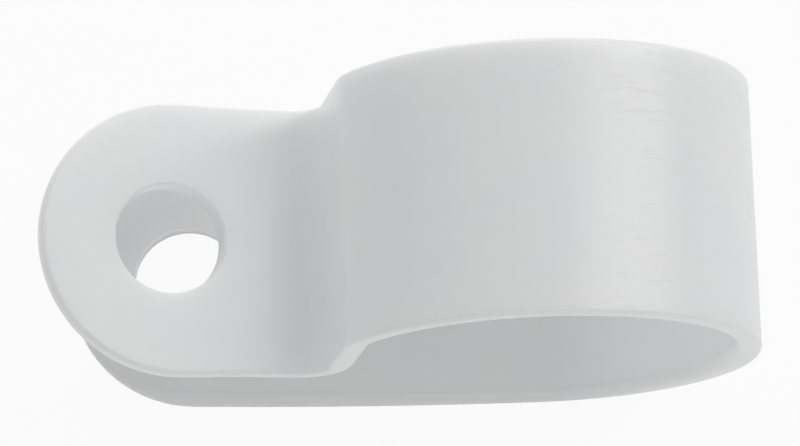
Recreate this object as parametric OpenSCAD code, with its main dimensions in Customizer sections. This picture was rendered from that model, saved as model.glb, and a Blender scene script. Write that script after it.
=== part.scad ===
// P clip for cable and hose: one moulded nylon strip that runs from a flat
// mounting tab round a circular loop and back to a second tab above the first.
// Free state: the loop is open, and the upper tab stands clear of the lower one
// and tilts up. One screw through both holes draws the tabs together.
//
// Frame: origin at the centre of the lower hole on the mounting face,
// +X from the hole towards the loop, +Y along the cable, +Z up.

/* [Strip] */
// Width of the strip, along the cable
strip_w = 12.7; // [9:0.1:16]
// Thickness of the strip
strip_t = 1.3; // [1.1:0.05:2]
// Edge rounding on the outer face
outer_edge_r = 0.2; // [0.05:0.05:0.3]
// Edge rounding on the cable side
cable_edge_r = 0.7; // [0.3:0.05:0.75]

/* [Loop] */
// Inside diameter of the open loop
loop_d = 17.7; // [14:0.1:26]
// How far the loop wraps, from the mounting face to the shoulder
loop_wrap = 239.5; // [230:0.5:248]
// Outside radius of the shoulder, the tighter bend above the wall
shoulder_r = 3; // [2.2:0.1:4]
// Lean of the short wall below the shoulder, away from the vertical
wall_lean = 9.6; // [4:0.2:14]
// Outside radius of the reverse bend at the root of the upper tab
root_r = 1.2; // [0.6:0.1:2]

/* [Tabs] */
// Lift of the upper tab's free end, from the horizontal
tab_lift = 16.25; // [8:0.25:20]
// Open gap between the tabs at the hole, measured along Z
tab_gap = 7.8; // [6:0.1:8.5]
// Length from the root bend to the upper hole
root_to_hole = 5.85; // [5:0.05:8]
// How far the upper hole stands back from the lower one, away from the loop
hole_setback = 0.5; // [0:0.05:1]
// Distance from each hole to the centre of its rounded tab end, towards the loop
end_offset = 0.3; // [0.05:0.05:0.6]
// Radius of the long hollow arcs in which the upper tab's sides flare to its end
upper_side_r = 120; // [80:1:400]
// Radius of the long full arcs in which the lower tab's sides draw in to its end
lower_side_r = 375; // [250:1:800]

/* [Screw holes] */
// Diameter of both screw holes
hole_d = 5.2; // [3.2:0.1:6.6]
// Rounding of the rims of the holes
rim_r = 0.12; // [0.05:0.01:0.2]

/* [Hidden] */
$fn = 64;

half_w = strip_w / 2;
loop_r = loop_d / 2 + strip_t;

// Along the strip, each bend turns it through its own angle
shoulder_turn = 270 - wall_lean - loop_wrap;
root_turn = 90 - wall_lean + tab_lift;

// Neighbouring bends and straights are joined with a step too fine to see,
// and the finer of the two reaches a hair into the other
seam = 0.003;
reach = 0.02;

// The upper hole, in the XZ plane, and from it back along the outer face
// to the centre of the root bend
upper_hole = [-hole_setback, strip_t + tab_gap + strip_t * cos(tab_lift)];
root_centre = upper_hole + root_to_hole * [cos(tab_lift), -sin(tab_lift)]
    + root_r * [sin(tab_lift), cos(tab_lift)];

// From the loop's centre to the wall's top, on the outer face
wall_out = [-cos(wall_lean), sin(wall_lean)];
loop_to_wall = (loop_r - shoulder_r) * [sin(loop_wrap), -cos(loop_wrap)] + shoulder_r * wall_out;

// The wall is as long as it takes to reach the root bend from there,
// and the loop stands where the wall's top then meets the shoulder
wall_h = (loop_r + loop_to_wall.y + root_r * wall_out.y - root_centre.y) / cos(wall_lean);
loop_x = root_centre.x - loop_to_wall.x - root_r * wall_out.x + wall_h * sin(wall_lean);

// ---- Section of the strip: X from the outer face to the cable side, Y across ----

// What is cut from a square corner to round it
module corner_cut(r) {
    difference() {
        square(r);
        translate([r, r]) circle(r);
    }
}

// One side of the section, from the edge at Y = 0 inwards
module side_section(depth, trim = 0) {
    translate([trim, trim]) difference() {
        square([strip_t - 2 * trim, depth - trim]);
        corner_cut(outer_edge_r);
        translate([strip_t - 2 * trim, 0]) mirror([1, 0]) corner_cut(cable_edge_r);
    }
}

module strip_section(trim = 0) {
    for (side = [0, 1]) mirror([0, side])
        translate([0, -half_w]) side_section(half_w, trim);
}

// ---- Pieces of the strip. Each starts at the origin and runs along +X, ----
// ---- with the outer face down on Z = 0                                  ----

// Curls up, with the cable side inside the bend
module bend(r, turn, trim = 0) {
    over = trim > 0 ? reach / r * 180 / PI : 0;
    translate([0, 0, r]) rotate([90, 0, 0])
        rotate_extrude(start = -90 - over, angle = turn + 2 * over)
            translate([r, 0]) mirror([1, 0]) strip_section(trim);
}

module after_bend(r, turn) {
    translate([0, 0, r]) rotate([0, -turn, 0]) translate([0, 0, -r]) children();
}

// Curls down, with the outer face inside the bend
module reverse_bend(r, turn, trim = 0) {
    over = trim > 0 ? reach / r * 180 / PI : 0;
    translate([0, 0, -r]) rotate([90, 0, 0])
        rotate_extrude(start = 90 - turn - over, angle = turn + 2 * over)
            translate([r, 0]) strip_section(trim);
}

module after_reverse_bend(r, turn) {
    translate([0, 0, -r]) rotate([0, turn, 0]) translate([0, 0, r]) children();
}

module wall() {
    mirror([1, 0, 0]) rotate([0, -90, 0]) linear_extrude(wall_h) strip_section();
}

// One side of a tab, in a long arc that leaves the strip's edge at the origin,
// either hollow, so that the tab flares, or full, so that it draws in
module tab_side(side_r, side_turn, hollow) {
    past_middle = 0.5;
    if (hollow)
        translate([0, half_w + side_r, 0]) rotate_extrude(start = -90, angle = side_turn)
            translate([side_r, 0]) mirror([1, -1]) side_section(half_w + past_middle);
    else
        mirror([1, 0, 0]) translate([0, half_w - side_r, 0])
            rotate_extrude(start = 90, angle = side_turn)
                translate([side_r, 0]) rotate(90) side_section(half_w + past_middle);
}

// A tab, to its rounded end beyond the hole. The end meets both sides at a tangent,
// so its radius follows from theirs. Its centre falls within the screw hole.
module tab(to_hole, side_r, hollow) {
    to_end = to_hole - end_offset;
    to_side_centre = hollow ? side_r + half_w : side_r - half_w;
    span = norm([to_end, to_side_centre]);
    side_turn = atan(to_end / to_side_centre);
    end_r = hollow ? span - side_r : side_r - span;
    end_turn = (hollow ? 180 + 2 * side_turn : 180 - 2 * side_turn) + 2 * reach / end_r * 180 / PI;
    for (side = [0, 1]) mirror([0, side, 0]) tab_side(side_r, side_turn, hollow);
    translate([to_end, 0, 0]) rotate_extrude(start = -end_turn / 2, angle = end_turn)
        translate([end_r, 0]) rotate(90) side_section(end_r - rim_r, seam);
}

// A hole through a tab, with rounded rims
module screw_hole() {
    hole_r = hole_d / 2;
    translate([0, 0, -1]) cylinder(r = hole_r, h = strip_t + 2);
    for (face = [0, 1]) translate([0, 0, face * strip_t]) mirror([0, 0, face])
        rotate_extrude() difference() {
            translate([hole_r - rim_r, -rim_r]) square(2 * rim_r);
            translate([hole_r + rim_r, rim_r]) circle(rim_r);
        }
}

// ---- Places along the strip ----

module at_loop() { translate([loop_x, 0, 0]) children(); }
module at_shoulder() { at_loop() after_bend(loop_r, loop_wrap) children(); }
module at_wall() { at_shoulder() after_bend(shoulder_r, shoulder_turn) children(); }
module at_root() { at_wall() translate([wall_h, 0, 0]) children(); }
module at_upper_tab() { at_root() after_reverse_bend(root_r, root_turn) children(); }

module clip() {
    color([0.93, 0.93, 0.92]) difference() {
        union() {
            at_loop() mirror([1, 0, 0]) tab(loop_x, lower_side_r, false);
            at_loop() bend(loop_r, loop_wrap);
            at_shoulder() bend(shoulder_r, shoulder_turn, seam);
            at_wall() wall();
            at_root() reverse_bend(root_r, root_turn, seam);
            at_upper_tab() tab(root_to_hole, upper_side_r, true);
        }
        screw_hole();
        at_upper_tab() translate([root_to_hole, 0, 0]) screw_hole();
    }
}

clip();
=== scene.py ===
from math import radians

import bpy
from mathutils import Matrix, Vector


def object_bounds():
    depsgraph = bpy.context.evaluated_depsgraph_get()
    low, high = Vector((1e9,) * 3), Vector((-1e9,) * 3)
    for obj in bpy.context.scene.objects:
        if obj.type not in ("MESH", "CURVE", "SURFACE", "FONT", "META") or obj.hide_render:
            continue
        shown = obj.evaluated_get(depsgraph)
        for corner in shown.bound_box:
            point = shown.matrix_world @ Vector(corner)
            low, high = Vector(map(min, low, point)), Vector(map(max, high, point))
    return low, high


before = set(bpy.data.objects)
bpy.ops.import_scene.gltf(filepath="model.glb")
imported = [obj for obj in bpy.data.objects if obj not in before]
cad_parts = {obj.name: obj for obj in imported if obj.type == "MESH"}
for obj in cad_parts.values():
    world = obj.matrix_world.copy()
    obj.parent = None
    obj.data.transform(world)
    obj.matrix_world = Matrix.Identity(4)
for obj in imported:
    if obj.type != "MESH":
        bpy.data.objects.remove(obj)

cad_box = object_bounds()
low, high = cad_box
middle = (low + high) / 2
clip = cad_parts["clip"]
mm = 0.001

# The loop stands on the floor and reaches the far end and the top of the clip
loop_r = high.z / 2
loop_x = high.x - loop_r


# ---- Shader nodes ----

class Value:
    """A node's output socket. Arithmetic on it adds Math nodes."""

    def __init__(self, shader, socket):
        self.shader, self.socket = shader, socket

    def __add__(self, other): return self.shader.math("ADD", self, other)
    def __radd__(self, other): return self.shader.math("ADD", other, self)
    def __sub__(self, other): return self.shader.math("SUBTRACT", self, other)
    def __rsub__(self, other): return self.shader.math("SUBTRACT", other, self)
    def __mul__(self, other): return self.shader.math("MULTIPLY", self, other)
    def __rmul__(self, other): return self.shader.math("MULTIPLY", other, self)
    def __pow__(self, other): return self.shader.math("POWER", self, other)
    def __rpow__(self, other): return self.shader.math("POWER", other, self)


class Outputs:
    """The outputs of one node, by name or by index."""

    def __init__(self, shader, made):
        self.shader, self.made = shader, made

    def __getitem__(self, name):
        return Value(self.shader, self.made.outputs[name])


class Shader:
    """The node tree of one material or of the world."""

    def __init__(self, owner):
        owner.use_nodes = True
        self.tree = owner.node_tree
        self.tree.nodes.clear()

    def node(self, kind, sockets=None, **settings):
        made = self.tree.nodes.new("ShaderNode" + kind)
        for name, setting in settings.items():
            setattr(made, name, setting)
        for name, value in (sockets or {}).items():
            if isinstance(value, Value):
                self.tree.links.new(value.socket, made.inputs[name])
            else:
                made.inputs[name].default_value = value
        return Outputs(self, made)

    def math(self, operation, first, second):
        return self.node("Math", {0: first, 1: second}, operation=operation)["Value"]

    def surface(self, value, output="Material"):
        self.node("Output" + output, {"Surface": value})


# ---- Camera: from above and a little to the front, through a long lens ----

CAMERA_TURN = radians(3.0)
CAMERA_ELEVATION = radians(76.74)
CAMERA_ROLL = radians(0.945)
CAMERA_DISTANCE = 245.6 * mm
AIM_OFF_MIDDLE = Vector((0.119, 0, 1.641)) * mm
LENS = 239.05
SENSOR_WIDTH = 36
NEAREST_SEEN = 10 * mm


def make_camera():
    camera = bpy.data.objects.new("camera", bpy.data.cameras.new("camera"))
    bpy.context.scene.collection.objects.link(camera)
    camera.data.lens = LENS
    camera.data.sensor_width = SENSOR_WIDTH
    camera.data.clip_start = NEAREST_SEEN
    # A camera that isn't turned looks straight down
    tilt = radians(90) - CAMERA_ELEVATION
    turned = (Matrix.Rotation(-CAMERA_TURN, 4, "Z") @ Matrix.Rotation(tilt, 4, "X")
              @ Matrix.Rotation(CAMERA_ROLL, 4, "Z"))
    place = middle + AIM_OFF_MIDDLE + turned @ Vector((0, 0, CAMERA_DISTANCE))
    camera.matrix_world = Matrix.Translation(place) @ turned
    bpy.context.scene.camera = camera


# ---- Studio: soft boxes round the clip, a pale world and a pale floor ----

WORLD_STRENGTH = 0.42
FLOOR_REACH = 2.0
FLOOR_PAINT = (0.9, 0.9, 0.9, 1)
SEEN_WHITE = 0.92


def softbox(name, offset, size, power):
    """A rectangular lamp that faces the clip's middle, at an offset from it."""
    lamp = bpy.data.lights.new(name, "AREA")
    lamp.shape = "RECTANGLE"
    lamp.size, lamp.size_y = size
    lamp.energy = power
    box = bpy.data.objects.new(name, lamp)
    bpy.context.scene.collection.objects.link(box)
    box.location = middle + Vector(offset)
    box.rotation_euler = (-Vector(offset)).to_track_quat("-Z", "Y").to_euler()


def make_light():
    softbox("strip_at_the_right", offset=(0.25, 0.08, 0.25), size=(0.06, 0.35), power=0.3)
    softbox("box_at_the_back", offset=(-0.05, 0.35, 0.09), size=(0.5, 0.12), power=0.55)
    softbox("box_at_the_front", offset=(0.02, -0.35, 0.07), size=(0.4, 0.12), power=0.16)
    world = bpy.data.worlds.new("studio")
    bpy.context.scene.world = world
    shader = Shader(world)
    sky = shader.node("Background", {"Color": (1, 1, 1, 1), "Strength": WORLD_STRENGTH})["Background"]
    shader.surface(sky, output="World")


def make_floor():
    reach = FLOOR_REACH
    corners = [(-reach, -reach, 0), (reach, -reach, 0), (reach, reach, 0), (-reach, reach, 0)]
    mesh = bpy.data.meshes.new("floor")
    mesh.from_pydata(corners, [], [(0, 1, 2, 3)])
    floor = bpy.data.objects.new("floor", mesh)
    bpy.context.scene.collection.objects.link(floor)
    material = bpy.data.materials.new("pale_floor")
    mesh.materials.append(material)
    shader = Shader(material)
    paint = shader.node("BsdfDiffuse", {"Color": FLOOR_PAINT})["BSDF"]
    white = shader.node("Emission", {"Color": (1, 1, 1, 1), "Strength": 1.0})["Emission"]
    # To the camera and in gloss the floor shows mostly as plain white, with some of its shadow.
    # It lights the clip only as the paint does.
    path = shader.node("LightPath")
    seen = path["Is Camera Ray"] + path["Is Glossy Ray"] + path["Is Transmission Ray"]
    shader.surface(shader.node("MixShader", {0: seen * SEEN_WHITE, 1: paint, 2: white})["Shader"])


# ---- Natural nylon: milky, satin, with fine scratches round the loop, painted lighter as glints ----

DULL = (0.885, 0.895, 0.91, 1)
PALE = (0.915, 0.922, 0.93, 1)
# Colour of the scratches: partly real whitened wear, partly a painted glint where light catches them
SCRATCH_AND_GLINT_TINT = (0.95, 0.95, 0.96, 1)
NYLON_IOR = 1.53
MILKY_DEPTH = 2.0 * mm
SCRATCH_SWAY = 0.8 * mm
RELIEF_HEIGHT = 0.03 * mm


def natural_nylon():
    material = bpy.data.materials.new("natural_nylon")
    shader = Shader(material)
    place = shader.node("TexCoord")["Object"]
    at = shader.node("SeparateXYZ", {0: place})
    x, y, z = at["X"], at["Y"], at["Z"]

    def noise(vector, scale, detail=2.0):
        return shader.node("TexNoise", {"Vector": vector, "Scale": scale, "Detail": detail})["Fac"]

    def between(value, start, end):
        """Rises smoothly from 0 at the start to 1 at the end, which may be the lower one."""
        return shader.node("MapRange", {"Value": value, "From Min": start, "From Max": end},
                           interpolation_type="SMOOTHSTEP")["Result"]

    def mix(amount, first, second):
        return shader.node("Mix", {"Factor": amount, 6: first, 7: second}, data_type="RGBA")[2]

    # How far round the loop, in radians from +X, and how far out from its axis
    out_x, out_z = x - loop_x, z - loop_r
    turn = shader.math("ARCTAN2", out_z, out_x)
    out = (out_x * out_x + out_z * out_z) ** 0.5

    # Scratches run round the loop, a little wavy, and are fine across the strip
    wavy_y = y + noise(place, 300) * SCRATCH_SWAY

    def streaks(per_radian, per_mm, layer, detail, start, end):
        stretched = shader.node("CombineXYZ", {
            "X": turn * per_radian, "Y": wavy_y * (per_mm / mm), "Z": layer})["Vector"]
        return between(noise(stretched, 1.0, detail), start, end)

    # They lie on the outer face, from below the far end up over the top, in patches
    outer_face = between(out, loop_r - 0.5 * mm, loop_r - 0.2 * mm)
    over_the_top = between(turn, -0.5, 0.3) * between(turn, 2.3, 0.8)
    patches = between(noise(place, 160), 0.36, 0.62)
    broad = streaks(per_radian=5, per_mm=4.2, layer=0.0, detail=3, start=0.56, end=0.74)
    fine = streaks(per_radian=12, per_mm=9, layer=4.0, detail=2, start=0.6, end=0.8)
    scratch_and_glint = (broad + fine) * (outer_face * over_the_top * patches)

    clouds = noise(place, 180, 3)
    grain = noise(place, 2200, 4)
    tone = mix(between(clouds, 0.3, 0.7), DULL, PALE)
    relief = grain * 0.25 + clouds * 0.4 + scratch_and_glint * 0.9
    bump = shader.node("Bump", {"Strength": 0.5, "Distance": RELIEF_HEIGHT, "Height": relief})["Normal"]
    shader.surface(shader.node("BsdfPrincipled", {
        # Lighter where scratched: the scratches are real wear, and their lighter colour is also a
        # painted glint over the lit outer face
        "Base Color": mix(scratch_and_glint * 0.35, tone, SCRATCH_AND_GLINT_TINT),
        "Roughness": 0.27 + grain * 0.12 - scratch_and_glint * 0.06,
        "IOR": NYLON_IOR,
        "Subsurface Weight": 1.0,
        "Subsurface Radius": (1, 1, 1),
        "Subsurface Scale": MILKY_DEPTH,
        "Normal": bump,
    })["BSDF"])
    return material


clip.data.materials.clear()
clip.data.materials.append(natural_nylon())
make_floor()
make_light()
make_camera()

bpy.context.scene.view_settings.view_transform = "Standard"
